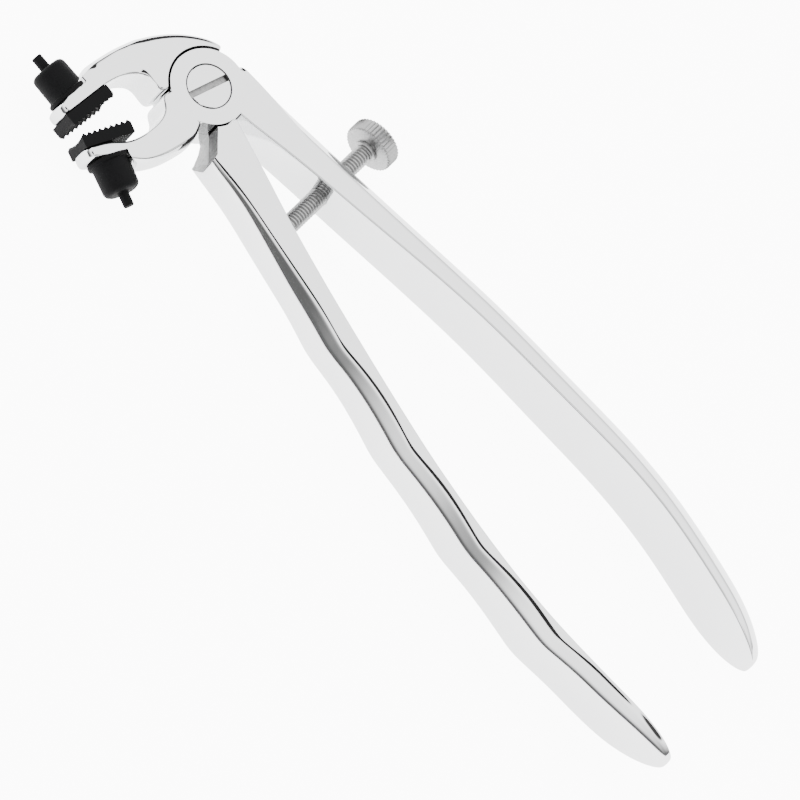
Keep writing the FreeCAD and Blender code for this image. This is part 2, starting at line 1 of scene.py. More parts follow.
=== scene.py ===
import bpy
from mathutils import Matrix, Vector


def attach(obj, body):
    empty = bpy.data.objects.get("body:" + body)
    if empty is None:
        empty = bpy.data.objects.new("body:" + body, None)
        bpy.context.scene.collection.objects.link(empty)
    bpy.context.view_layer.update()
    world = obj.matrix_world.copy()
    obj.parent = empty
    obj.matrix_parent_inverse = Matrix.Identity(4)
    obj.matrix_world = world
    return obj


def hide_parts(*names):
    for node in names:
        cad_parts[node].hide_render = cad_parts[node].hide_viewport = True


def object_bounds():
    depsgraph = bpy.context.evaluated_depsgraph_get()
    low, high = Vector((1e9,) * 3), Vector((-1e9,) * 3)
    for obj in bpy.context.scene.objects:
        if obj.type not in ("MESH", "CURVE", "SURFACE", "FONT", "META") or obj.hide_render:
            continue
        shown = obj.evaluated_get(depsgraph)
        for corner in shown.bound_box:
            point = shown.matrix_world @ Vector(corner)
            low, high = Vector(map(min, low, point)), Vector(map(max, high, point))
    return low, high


bl_info = {
    "name": "Soft-jaw pliers",
    "version": (1, 0, 0),
    "blender": (4, 5, 0),
    "location": "3D View > Sidebar > Pliers",
    "description": "Polished soft-jaw pliers with rubber pads and a thumb screw, on their CAD frame",
    "category": "Object",
}

import math

import bmesh
import bpy
from bpy.props import FloatProperty, FloatVectorProperty, IntProperty, PointerProperty
from bpy.types import Operator, Panel, PropertyGroup
from mathutils import Matrix, Vector

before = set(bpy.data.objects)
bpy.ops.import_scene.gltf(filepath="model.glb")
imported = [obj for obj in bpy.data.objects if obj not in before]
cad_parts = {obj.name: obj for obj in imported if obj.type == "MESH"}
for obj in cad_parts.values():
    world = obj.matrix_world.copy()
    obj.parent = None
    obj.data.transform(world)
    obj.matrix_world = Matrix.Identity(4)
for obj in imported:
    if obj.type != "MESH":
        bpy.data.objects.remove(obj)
CAD_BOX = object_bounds()

# Pieces are drawn in millimetres about the plane where the two levers lap, with Z along the pivot,
# and put into the frame, in metres, when they are finished.
MM = 0.001
LAP_HEIGHT = 5.0            # the lap plane above the joint's back face
HALF_JOINT = 5.0
LAP_GAP = 0.05              # each half of the joint stands this far off the lap plane
BORE_RADIUS = 3.05          # through the front lever, round the pivot screw's shank
TAPPING_RADIUS = 2.5        # through the rear lever, for the pivot screw's thread
STUD_HOLE_RADIUS = 2.05     # through the smooth handle, round the thumb screw
THROUGH = 9                 # a cutter's reach beyond the joint's faces

# ---------------------------------------------------------------- settings


class PliersLevers(PropertyGroup):
    lap_radius: FloatProperty(name="Joint disc", description="Radius of each joint disc, mm", default=8.1)
    shoulder_radius: FloatProperty(name="Shoulder", description="Radius cut round the disc, mm", default=8.6)
    handle_length: FloatProperty(name="Handles", description="Pivot to the handles' ends, mm", default=155.2)
    groove_pitch: FloatProperty(name="Groove pitch", description="Crest to crest, mm", default=22.9)
    crest_height: FloatProperty(name="Crests", description="Height between finger grooves, mm", default=0.85)
    steel: FloatVectorProperty(name="Steel", description="Colour of the polished steel", subtype="COLOR",
                               size=3, default=(0.76, 0.765, 0.77))
    polish: FloatProperty(name="Roughness", description="Roughness of the polished steel", default=0.075)


class PliersScrews(PropertyGroup):
    slot_angle: FloatProperty(name="Slot angle", description="Of the pivot screw, in degrees", default=72.0)
    slot_width: FloatProperty(name="Slot width", description="Of the pivot screw, mm", default=1.45)
    thread_pitch: FloatProperty(name="Pitch", description="Of the thumb screw's thread, mm", default=0.75)
    thread_depth: FloatProperty(name="Depth", description="Of the thumb screw's thread, mm", default=0.42)
    knurl_count: IntProperty(name="Knurls", description="Grooves round the knob", default=40)
    steel: FloatVectorProperty(name="Steel", description="Colour of the satin steel", subtype="COLOR",
                               size=3, default=(0.32, 0.32, 0.32))


class PliersPads(PropertyGroup):
    tooth_count: IntProperty(name="Teeth", description="Teeth along each pad", default=9)
    tooth_height: FloatProperty(name="Tooth height", description="Depth between the teeth, mm", default=0.55)
    hollow: FloatProperty(name="Hollow", description="Depth of the hollow across each pad, mm", default=0.6)
    rubber: FloatVectorProperty(name="Rubber", description="Colour of the rubber", subtype="COLOR",
                                size=3, default=(0.0035, 0.0035, 0.0038))


class PliersStage(PropertyGroup):
    lens: FloatProperty(name="Lens", description="Focal length of the camera", default=576.3, unit="CAMERA")
    place: FloatVectorProperty(name="Camera", description="Where the camera stands", subtype="TRANSLATION",
                               unit="LENGTH", size=3, default=(0.0, 1.30996, 2.13932))
    turn: FloatVectorProperty(name="Turn", description="How the camera is turned, degrees", size=3,
                              default=(22.864, -21.826, -141.656))
    sky: FloatProperty(name="Light", description="Strength of the light all round", default=3.2)
    table: FloatProperty(name="Table", description="Strength of the lit table under the tool", default=2.5)
    backdrop: FloatProperty(name="Backdrop", description="Strength of the table as the camera sees it",
                            default=9.0)


# ---------------------------------------------------------------- mesh helpers


def piece_object(name, mesh):
    obj = bpy.data.objects.new(name, mesh)
    bpy.context.scene.collection.objects.link(obj)
    return obj


def from_bmesh(name, bm):
    """A working object from a bmesh, with its faces turned outwards."""
    bmesh.ops.recalc_face_normals(bm, faces=bm.faces)
    mesh = bpy.data.meshes.new(name)
    bm.to_mesh(mesh)
    bm.free()
    return piece_object(name, mesh)


def applied(obj):
    """The same object with its modifiers made part of its mesh."""
    graph = bpy.context.evaluated_depsgraph_get()
    mesh = bpy.data.meshes.new_from_object(obj.evaluated_get(graph))
    name = obj.name
    bpy.data.objects.remove(obj)
    return piece_object(name, mesh)


def subdivided(obj, levels):
    smooth = obj.modifiers.new("Subdivision", "SUBSURF")
    smooth.levels = smooth.render_levels = levels
    return applied(obj)


def combined(obj, others, operation):
    """Joins others to an object, or cuts them from it."""
    for other in others:
        join = obj.modifiers.new(operation.title(), "BOOLEAN")
        join.operation = operation
        join.solver = "EXACT"
        join.material_mode = "TRANSFER"
        join.object = other
    obj = applied(obj)
    for other in others:
        bpy.data.objects.remove(other)
    return obj


def shade(obj, degrees=30):
    """Smooth shading, broken along edges sharper than an angle."""
    bm = bmesh.new()
    bm.from_mesh(obj.data)
    bmesh.ops.remove_doubles(bm, verts=bm.verts, dist=1e-4)
    for face in bm.faces:
        face.smooth = True
    for edge in bm.edges:
        if len(edge.link_faces) == 2 and edge.calc_face_angle(0) > math.radians(degrees):
            edge.smooth = False
    bm.to_mesh(obj.data)
    bm.free()


def coated(material, *shapes):
    """Gives working shapes their material, which a cut then leaves on the faces it makes."""
    for shape in shapes:
        shape.data.materials.append(material)
    return list(shapes)


def finished(obj, body, slot, *nodes):
    """Puts a drawn piece into the frame, hands it to its body and hides the nodes it stands for; the slot is
    not used.
    """
    if not obj.data.polygons:
        raise RuntimeError(obj.name + " came out empty")
    obj.data.transform(Matrix.Scale(MM, 4) @ Matrix.Translation((0, 0, LAP_HEIGHT)))
    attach(obj, body)
    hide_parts(*nodes)
    return obj


def cylinder(name, radius, low, high, placed=None, segments=128, rim=0.0):
    """A round bar along Z, or along a placement's Z, with its top rim rounded if asked."""
    bm = bmesh.new()
    bmesh.ops.create_cone(bm, cap_ends=True, segments=segments, radius1=radius, radius2=radius,
                          depth=high - low)
    bmesh.ops.translate(bm, verts=bm.verts, vec=(0, 0, (high + low) / 2))
    if rim:
        edges = [e for e in bm.edges if all(abs(v.co.z - high) < 1e-6 for v in e.verts)]
        bmesh.ops.bevel(bm, geom=edges, offset=rim, affect="EDGES", segments=3, profile=0.5, material=-1)
    if placed:
        bmesh.ops.transform(bm, matrix=placed, verts=bm.verts)
    return from_bmesh(name, bm)


def prism(name, outline, low, high):
    bm = bmesh.new()
    face = bm.faces.new([bm.verts.new((x, y, low)) for x, y in outline])
    grown = bmesh.ops.extrude_face_region(bm, geom=[face])["geom"]
    tops = [v for v in grown if isinstance(v, bmesh.types.BMVert)]
    bmesh.ops.translate(bm, verts=tops, vec=(0, 0, high - low))
    return from_bmesh(name, bm)


def lathe(name, profile, placed, segments=96):
    """A solid turned about the placement's Z axis from (radius, height) points."""
    bm = bmesh.new()
    points = [bm.verts.new((radius, 0, height)) for radius, height in profile]
    edges = [bm.edges.new(pair) for pair in zip(points, points[1:])]
    bmesh.ops.spin(bm, geom=points + edges, cent=(0, 0, 0), axis=(0, 0, 1), angle=2 * math.pi,
                   steps=segments, use_merge=True)
    bmesh.ops.remove_doubles(bm, verts=bm.verts, dist=1e-4)
    bmesh.ops.transform(bm, matrix=placed, verts=bm.verts)
    return from_bmesh(name, bm)


def reading(value, table):
    """Smooth reading of (place, size) pairs."""
    for i in range(len(table) - 1):
        (a, low), (b, high) = table[i], table[i + 1]
        if value <= b or i == len(table) - 2:
            break
    t = min(max((value - a) / (b - a), 0.0), 1.0)

    def slope(k):
        left, right = table[max(k - 1, 0)], table[min(k + 1, len(table) - 1)]
        return (right[1] - left[1]) / (right[0] - left[0])

    step = b - a
    return (low * (1 + 2 * t) * (1 - t) ** 2 + slope(i) * step * t * (1 - t) ** 2
            + high * t * t * (3 - 2 * t) + slope(i + 1) * step * t * t * (t - 1))


def arch(start, crown, steps):
    """Points over a round arch from (out, up) to (out, -up), with its top at (crown, 0)."""
    out, half = start
    rise = crown - out
    radius = (half ** 2 + rise ** 2) / (2 * rise)
    reach = math.atan2(half, radius - rise)
    turns = [reach * (1 - 2 * k / steps) for k in range(1, steps)]
    return [(crown - radius + radius * math.cos(a), radius * math.sin(a)) for a in turns]


def corner(before, point, after, radius):
    """Two points either side of a corner, close enough to keep it as tight as its radius."""
    point, result = Vector(point), []
    for end in (before, after):
        way = Vector(end) - point
        reach = min(radius, way.length * 0.3)
        near = point + way.normalized() * reach
        far = point + way.normalized() * min(2.6 * radius, way.length * 0.45)
        result.append((tuple(far), tuple(near)))
    return [result[0][0], result[0][1], result[1][1], result[1][0]]


def section(flank, radii, crown, steps):
    """A closed section: rounded corners down the flank, an arch, and the same back up.

    flank holds (out, up) corners from the inner face to the arch, and radii their roundings.
    """
    over = arch(flank[-1], crown, steps)
    mirrored = [(out, -up) for out, up in reversed(flank)]
    loop = flank + over + mirrored
    points = []
    for index, radius in enumerate(radii):
        points += corner(loop[index - 1], loop[index], loop[index + 1], radius)
    return points + over + [(out, -up) for out, up in reversed(points)]


def loft(name, rings, levels=2):
    """A smooth solid through rings of points, closed at both ends."""
    bm = bmesh.new()
    loops = []
    for points in rings:
        verts = [bm.verts.new(p) for p in points]
        loops.append([bm.edges.new(pair) for pair in zip(verts, verts[1:] + verts[:1])])
    for near, far in zip(loops, loops[1:]):
        bmesh.ops.bridge_loops(bm, edges=near + far)
    for end in (loops[0], loops[-1]):
        bmesh.ops.contextual_create(bm, geom=end)
    return subdivided(from_bmesh(name, bm), levels)


# ---------------------------------------------------------------- handles

# Each table holds (station, size) pairs; a station is a distance from the pivot along the handle.
HALF_DEPTH = [(0, 5.0), (8, 5.0), (11, 5.02), (20, 5.45), (32, 6.0), (45, 6.4), (60, 6.95), (80, 7.35),
              (100, 7.75), (118, 8.1), (132, 8.22), (139, 8.25), (156, 8.25)]
END_START = 139.0
END_SHARE = 0.22            # how much of a handle's thickness its very end keeps


def end_round(station, length):
    """Falls from 1 to 0 over the rounded end of a handle."""
    into = max(0.0, (station - END_START) / (length - END_START))
    return math.sqrt(max(0.0, 1 - into * into))


def end_stations(length):
    """Stations that crowd towards the end, where the outline turns."""
    shares = (0.0, 0.25, 0.45, 0.62, 0.76, 0.87, 0.94, 0.985)
    return [END_START + (length - END_START) * share for share in shares]


SMOOTH_INNER = [(0, -0.3), (9, -0.35), (20, -1.2), (30, -1.7), (40, -2.1), (50, -2.6), (60, -3.0),
                (70, -3.15), (80, -2.8), (92, -2.1), (108, -1.3), (120, 0.3), (130, 2.7), (140, 5.7),
                (150, 8.4), (156, 9.8)]
SMOOTH_THICK = [(0, 9.9), (9, 9.5), (22, 8.8), (40, 8.2), (60, 7.6), (100, 7.5), (120, 7.2), (156, 7.0)]
SMOOTH_LAND = [(0, 8.5), (9, 7.9), (20, 5.2), (34, 2.4), (45, 1.6), (60, 1.25), (156, 1.15)]


def smooth_handle(settings):
    """The handle with a flat inner face, a narrow land beside it and a round back."""
    rings = []
    length = settings.handle_length
    spaced = [1, 4, 7, 9, 11, 14, 18, 23, 28, 34, 40, 47, 55, 63, 71, 80, 89, 98, 107, 115, 122, 128, 134]
    for station in spaced + end_stations(length):
        fall = end_round(station, length)
        shrink = END_SHARE + (1 - END_SHARE) * fall
        half = reading(station, HALF_DEPTH) * fall
        thick = reading(station, SMOOTH_THICK) * shrink
        land = reading(station, SMOOTH_LAND) * shrink
        base = reading(station, SMOOTH_INNER)
        loop = section([(0, half), (land, half)], (0.3, 0.5), thick, 12)
        rings.append([(-station, base - out, up) for out, up in loop])
    return loft("smooth_handle", rings)


FINGER_INNER = [(0, -2.2), (5, -0.3), (10, 1.7), (20, 5.9), (30, 10.3), (40, 14.15), (50, 17.8),
                (60, 21.3), (70, 24.6), (80, 27.7), (90, 30.4), (100, 32.8), (110, 34.8), (120, 36.2),
                (130, 37.0), (140, 37.5), (156, 37.4)]
FINGER_FACET = [(0, 10.2), (5, 9.6), (10, 8.9), (15, 7.8), (20, 6.8), (30, 5.4), (40, 4.3), (50, 3.4),
                (62, 2.35), (80, 1.6), (97, 1.6), (110, 1.1), (120, 0.85), (135, 0.8), (156, 0.8)]
FINGER_BEVEL = [(0, 10.9), (5, 10.5), (10, 9.9), (15, 8.95), (20, 8.05), (30, 7.1), (40, 6.5), (50, 5.8),
                (60, 5.1), (80, 4.5), (100, 4.1), (120, 3.9), (135, 3.5), (146, 3.2), (156, 3.0)]
BEVEL_HEIGHT = [(0, 4.1), (10, 3.9), (20, 3.6), (40, 3.2), (60, 3.9), (80, 4.4), (100, 4.6), (120, 5.4),
                (140, 5.8), (156, 5.8)]
FIRST_CREST = 51.2          # at mid-depth; the crests lean so that the near side's stand further back
CREST_LEAN = 2.75


def groove_rise(station, side, settings):
    """Crests between the finger grooves, at a station and a share of the depth."""
    turns = (station - FIRST_CREST - CREST_LEAN * side) / settings.groove_pitch
    if not -0.5 < turns < 3.5:
        return 0.0
    swing = abs(math.sin(math.pi * turns))
    return settings.crest_height * (1 - math.sqrt(swing * swing + 0.004))


def finger_handle(settings):
    """The handle with a flat inner face, a facet and a bevel each side and four finger grooves."""
    rings = []
    length = settings.handle_length
    stations = [1, 4, 7, 9, 11, 14, 18, 22, 27, 32, 37]
    stations += [FIRST_CREST + settings.groove_pitch * k / 10 for k in range(-5, 37)] + [135.5]
    for station in stations + end_stations(length):
        fall = end_round(station, length)
        shrink = END_SHARE + (1 - END_SHARE) * fall
        half = reading(station, HALF_DEPTH) * fall
        facet = reading(station, FINGER_FACET) * shrink
        bevel = reading(station, FINGER_BEVEL) * shrink
        height = reading(station, BEVEL_HEIGHT)
        if fall < 1:
            height = min(height, half * 0.72)
        base = reading(station, FINGER_INNER)
        flank = [(0, half), (facet, half), (bevel, height)]
        loop = section(flank, (0.25, 0.5, 0.5), bevel + 0.55 * shrink, 6)
        points = []
        for out, up in loop:
            share = max(0.0, min(1.0, (out - facet * 0.5) / (facet * 0.5)))
            rise = groove_rise(station, up / max(half, 0.1), settings) * share * shrink
            points.append((-station, base + out + rise, up))
        rings.append(points)
    return loft("finger_handle", rings)


# ---------------------------------------------------------------- jaws

# Each jaw's seat: its middle, the way its plug points in degrees, and the side its tip is on.
SEATS = {"upper": (Vector((15.68, 20.9, 0)), -7.5, 1), "lower": (Vector((6.93, 23.84, 0)), 154.5, -1)}
SEAT_BODY = {"upper": "rear_lever", "lower": "front_lever"}
EYE_RADIUS = 6.0
EYE_HALF_DEPTH = 4.0
JAW_PLATE = 2.7             # thickness of the eye under the plug's rim
PLUG_HOLE_RADIUS = 2.5
RIM_SPOT_RADIUS = 4.8


def seat_frame(jaw):
    """Frame of a jaw's seat: Z out along the plug, X along the seat, Y across the jaw."""
    place, degrees = SEATS[jaw][:2]
    turn = Matrix.Rotation(math.radians(degrees), 4, "Z") @ Matrix(
        ((0, 0, 1, 0), (1, 0, 0, 0), (0, 1, 0, 0), (0, 0, 0, 1)))
    return Matrix.Translation(place) @ turn


def seat_point(jaw, along, out):
    """A point of a jaw in the plan, along its seat towards the tip and out from the seat."""
    point = seat_frame(jaw) @ Vector((along * SEATS[jaw][2], 0, out))
    return (point.x, point.y)


def eye_rays(jaw, spans):
    """Rays across a jaw's eye: (along, inner, outer) spans, narrowing round the tip."""
    rays = []
    for along, inner, outer in spans:
        width = EYE_HALF_DEPTH
        if along > 0:
            width = min(width, math.sqrt(max(0.3, EYE_RADIUS ** 2 - along ** 2)))
        rays.append((seat_point(jaw, along, inner), seat_point(jaw, along, outer), width, 0.75))
    return rays


def jaw(name, rays):
    """A jaw through rays of (inner point, outer point, half width, arch height)."""
    rings = []
    for inner, outer, half, rise in rays:
        start, way = Vector(inner), Vector(outer) - Vector(inner)
        thick = way.length
        way.normalize()
        fall = min(0.85 * rise, 0.4 * half)
        flank = [(0, half), (thick - rise, half), (thick - 0.3, half - fall)]
        loop = section(flank, (0.45, 0.5, 0.4), thick, 8)
        rings.append([(start.x + way.x * out, start.y + way.y * out, up) for out, up in loop])
    return loft(name, rings)


EYE_TIP = [(4.6, 0.0, 2.55), (5.3, 0.05, 2.4), (5.75, 0.15, 2.25), (5.97, 0.35, 2.0)]


def lower_jaw():
    rays = [((4.0, 3.0), (-3.0, 4.0), 5, 1.2), ((4.9, 6.0), (-4.1, 6.6), 5, 1.2),
            ((5.4, 8.2), (-4.9, 8.7), 5, 1.2), ((4.7, 9.2), (-5.2, 10.1), 5, 1.25),
            ((3.3, 10.1), (-5.1, 11.2), 4.9, 1.3),
            ((2.5, 11.5), (-4.8, 12.6), 4.75, 1.35), ((2.2, 13.4), (-4.4, 14.2), 4.5, 1.35),
            ((2.5, 16.2), (-3.7, 16.7), 4.1, 1.3), ((3.3, 19.0), (-2.5, 19.4), 3.8, 1.2),
            ((4.4, 21.2), (-0.9, 21.8), 3.7, 1.1)]
    rays += eye_rays("lower", [(-1.2, 0.5, 4.3), (0.6, 0.1, 3.5), (2.2, 0.0, 3.0), (3.6, 0.0, 2.7)] + EYE_TIP)
    return jaw("lower_jaw", rays)


def upper_jaw():
    rays = [((2.2, -5), (3.3, -9.6), 5, 1.0), ((2.9, -5), (4.4, -9.4), 5, 1.1),
            ((3.8, -4.6), (6.78, -8.69), 5, 1.2), ((4.4, -3.4), (9.96, -6.44), 5, 1.3),
            ((4.9, -2), (12.29, -4.19), 5, 1.35), ((5, 0), (14.19, -1.76), 5, 1.35),
            ((4.9, 2.4), (15.7, 0.55), 5, 1.35), ((5, 5), (16.59, 2.23), 5, 1.35),
            ((5.6, 6.8), (17.13, 3.1), 4.95, 1.35), ((6.1, 7.8), (17.42, 3.9), 4.88, 1.35),
            ((6.9, 8.0), (17.69, 4.6), 4.8, 1.35), ((8.2, 7.7), (18.07, 5.6), 4.65, 1.35),
            ((9.5, 7.5), (18.64, 7.1), 4.45, 1.35), ((10.8, 7.75), (19.18, 9.0), 4.2, 1.35),
            ((12.0, 8.6), (19.64, 11.1), 4.0, 1.35), ((13.2, 10.1), (20.0, 13.0), 3.85, 1.3),
            ((14.2, 11.9), (20.23, 14.31), 3.75, 1.25)]
    rays += eye_rays("upper", [(-6.0, 0.0, 5.0), (-4.0, 0.0, 4.8), (-2.0, 0.0, 4.35), (0.0, 0.0, 3.8),
                               (2.0, 0.0, 3.2), (3.6, 0.0, 2.75)] + EYE_TIP)
    return jaw("upper_jaw", rays)


def eye_cutters(jaw_name):
    """The plug hole through a jaw's eye and the flat spot under the plug's rim."""
    placed = seat_frame(jaw_name)
    return [cylinder("plug_hole", PLUG_HOLE_RADIUS, -2, 12, placed, 48),
            cylinder("rim_spot", RIM_SPOT_RADIUS, JAW_PLATE, 14, placed, 96)]


def thumb_frame():
    """Frame of the thumb screw: Z out towards its knob."""
    return (Matrix.Translation((-30.3, 0, 0)) @ Matrix.Rotation(math.radians(-2.8), 4, "Z")
            @ Matrix.Rotation(math.radians(90), 4, "X"))


def head_seat():
    """The seat of the pivot screw's head, with its edge broken."""
    profile = [(0, 2.8), (4.65, 2.8), (4.65, 4.8), (4.88, 5.03), (4.88, 9), (0, 9)]
    return lathe("head_seat", profile, Matrix.Identity(4), 128)


def front_lever(settings, steel, gap_shade):
    disc = cylinder("front_lever_steel", settings.lap_radius, -HALF_JOINT, HALF_JOINT, rim=0.12)
    shapes = coated(steel, disc, smooth_handle(settings), lower_jaw())
    whole = combined(shapes[0], shapes[1:], "UNION")
    # The relief, bore, head seat and stud hole are coated near-black: painted shade in the gap round the disc
    # and in the holes.
    cutters = [cylinder("relief", settings.shoulder_radius, -THROUGH, LAP_GAP),
               cylinder("bore", BORE_RADIUS, -THROUGH, THROUGH, segments=64),
               head_seat(), cylinder("stud_hole", STUD_HOLE_RADIUS, -6, 16, thumb_frame(), 64)]
    whole = combined(whole, coated(gap_shade, *cutters) + coated(steel, *eye_cutters("lower")), "DIFFERENCE")
    shade(whole)
    return finished(whole, "front_lever", "polished_steel", "front_lever")


def pocket_cutters():
    """The V pocket at the root of the finger-grip handle: an upright wall, and a slope under the jaw."""
    beyond = [(-2, 16), (0, 4.9)]
    wall = [(-6.1, 4.9), (-7.0, 5.7), (-8.5, 7.7), (-10.3, 10.0), (-11.0, 14.0)] + beyond
    toe = [(-6.1, 4.9), (-6.8, 5.4), (-7.7, 7.2), (-8.5, 9.7), (-8.8, 14.0)] + beyond
    rings = [[(x, y, up) for x, y in outline] for outline, up in ((wall, 0.01), (toe, -4.5), (toe, -9))]
    return prism("pocket_wall", wall, 0, 9), loft("pocket_slope", rings, 0)


def rear_lever(settings, steel, gap_shade, pocket_shade, cut):
    wall, slope = pocket_cutters()
    # The pocket's upright wall is coated near-black steel: painted shade in the V pocket.
    pocket = coated(pocket_shade, wall) + coated(cut, slope)
    handle = combined(*coated(steel, finger_handle(settings)), pocket, "DIFFERENCE")
    disc = cylinder("rear_lever_steel", settings.lap_radius, -HALF_JOINT, HALF_JOINT)
    shapes = coated(steel, disc, upper_jaw())
    whole = combined(shapes[0], [handle, shapes[1]], "UNION")
    # The relief and the tapping are coated near-black: painted shade in the gap round the disc and in the
    # hole.
    cutters = [cylinder("relief", settings.shoulder_radius, -LAP_GAP, THROUGH),
               cylinder("tapping", TAPPING_RADIUS, -THROUGH, THROUGH, segments=64)]
    whole = combined(whole, coated(gap_shade, *cutters) + coated(steel, *eye_cutters("upper")), "DIFFERENCE")
    shade(whole)
    return finished(whole, "rear_lever", "polished_steel", "rear_lever")


# ---------------------------------------------------------------- screws


def pivot_screw(settings, steel, cut):
    profile = [(0, -5), (2.5, -5), (2.5, -0.05), (3, -0.05), (3, 2.85), (4.6, 2.85), (4.6, 4.84),
               (4.56, 4.94), (4.46, 5), (0, 5)]
    head = lathe("pivot_screw_steel", profile, Matrix.Identity(4), 128)
    bm = bmesh.new()
    bmesh.ops.create_cube(bm, size=1)
    bmesh.ops.scale(bm, verts=bm.verts, vec=(12, settings.slot_width, 2))
    bmesh.ops.transform(bm, matrix=Matrix.Translation((0, 0, HALF_JOINT)) @ Matrix.Rotation(
        math.radians(settings.slot_angle), 4, "Z"), verts=bm.verts)
    head = combined(*coated(steel, head), coated(cut, from_bmesh("slot", bm)), "DIFFERENCE")
    shade(head)
    return finished(head, "rear_lever", "polished_steel", "pivot_screw")


STUD_TIP, COLLAR_START, KNOB_FACE = -9.25, 16.3, 17.0      # along the thumb screw from its handle
KNOB_RADIUS = 5.4
KNURL_START, KNURL_RUN, KNURL_DEPTH = 5.0, 0.2, 0.36        # from this radius out, over a short run


def stud(settings, steel):
    """The thumb screw's thread, wound as one helix and closed on its tip and its collar."""
    pitch, crest = settings.thread_pitch, 2.0
    root = crest - settings.thread_depth
    steps = 28
    turns = math.ceil((COLLAR_START - STUD_TIP) / pitch) + 2
    bm = bmesh.new()
    heights = [(root, 0), (root, 0.12), (crest, 0.42), (crest, 0.58), (root, 0.88), (root, 1.0)]
    points = [bm.verts.new((radius, 0, STUD_TIP - pitch + share * pitch)) for radius, share in heights]
    edges = [bm.edges.new(pair) for pair in zip(points, points[1:])]
    bmesh.ops.spin(bm, geom=points + edges, cent=(0, 0, 0), axis=(0, 0, 1), dvec=(0, 0, pitch / steps),
                   angle=2 * math.pi * turns, steps=steps * turns, use_merge=False)
    bmesh.ops.remove_doubles(bm, verts=bm.verts, dist=1e-3)
    for height, side in ((STUD_TIP + 0.7, 1), (COLLAR_START, -1)):
        geom = bm.verts[:] + bm.edges[:] + bm.faces[:]
        cut = bmesh.ops.bisect_plane(bm, geom=geom, plane_co=(0, 0, height), plane_no=(0, 0, side),
                                     clear_inner=True)["geom_cut"]
        rim = [e for e in cut if isinstance(e, bmesh.types.BMEdge)]
        bmesh.ops.contextual_create(bm, geom=rim)
    bmesh.ops.transform(bm, matrix=thumb_frame(), verts=bm.verts)
    thread = from_bmesh("adjusting_stud_steel", bm)
    tip = lathe("tip", [(0, STUD_TIP), (0.85, STUD_TIP), (1.15, STUD_TIP + 0.08), (root, STUD_TIP + 0.6),
                        (root, STUD_TIP + 1.2), (0, STUD_TIP + 1.2)], thumb_frame(), 48)
    profile = [(0, COLLAR_START - 0.4), (1.9, COLLAR_START - 0.4), (1.9, COLLAR_START - 0.1),
               (2.35, COLLAR_START), (2.5, COLLAR_START + 0.15), (2.5, KNOB_FACE - 0.05),
               (1.5, KNOB_FACE - 0.05), (1.5, KNOB_FACE + 2), (0, KNOB_FACE + 2)]
    collar = lathe("collar", profile, thumb_frame(), 64)
    shapes = coated(steel, thread, tip, collar)
    thread = combined(shapes[0], shapes[1:], "UNION")
    shade(thread, 25)
    return finished(thread, "stud", "satin_steel", "adjusting_stud")


def knob(settings, steel):
    """The knob, turned in a lathe and then knurled with straight grooves."""
    count = settings.knurl_count
    profile = [(0, 2.05), (1.55, 2.05), (1.55, 0.0), (2.5, 0.0), (3.6, 0.08), (4.95, 0.42), (5.2, 0.52),
               (5.35, 0.66), (KNOB_RADIUS, 0.85), (KNOB_RADIUS, 3.35), (5.33, 3.55), (5.15, 3.68),
               (4.85, 3.75), (4.1, 3.75), (3.95, 3.67), (0, 3.67)]
    bm = bmesh.new()
    points = [bm.verts.new((r, 0, h)) for r, h in profile]
    edges = [bm.edges.new(pair) for pair in zip(points, points[1:])]
    bmesh.ops.spin(bm, geom=points + edges, cent=(0, 0, 0), axis=(0, 0, 1), angle=2 * math.pi,
                   steps=count * 4, use_merge=True)
    bmesh.ops.remove_doubles(bm, verts=bm.verts, dist=1e-4)
    for vert in bm.verts:
        reach = math.hypot(vert.co.x, vert.co.y)
        if reach > KNURL_START:
            phase = math.atan2(vert.co.y, vert.co.x) * count
            share = min(1.0, (reach - KNURL_START) / KNURL_RUN)
            depth = KNURL_DEPTH * (0.5 - 0.5 * math.cos(phase)) * share
            vert.co.xy *= (reach - depth) / reach
    bmesh.ops.translate(bm, verts=bm.verts, vec=(0, 0, KNOB_FACE))
    bmesh.ops.transform(bm, matrix=thumb_frame(), verts=bm.verts)
    obj = from_bmesh("knurled_knob_steel", bm)
    coated(steel, obj)
    shade(obj, 35)
    return finished(obj, "knob", "satin_steel", "knurled_knob")


# ---------------------------------------------------------------- rubber pads

PAD_LENGTH, PAD_HALF_WIDTH, PAD_HEIGHT = 11.3, 3.9, 2.95
PAD_SHIFT = {"upper": -0.15, "lower": 0.35}     # of each pad's middle along its seat


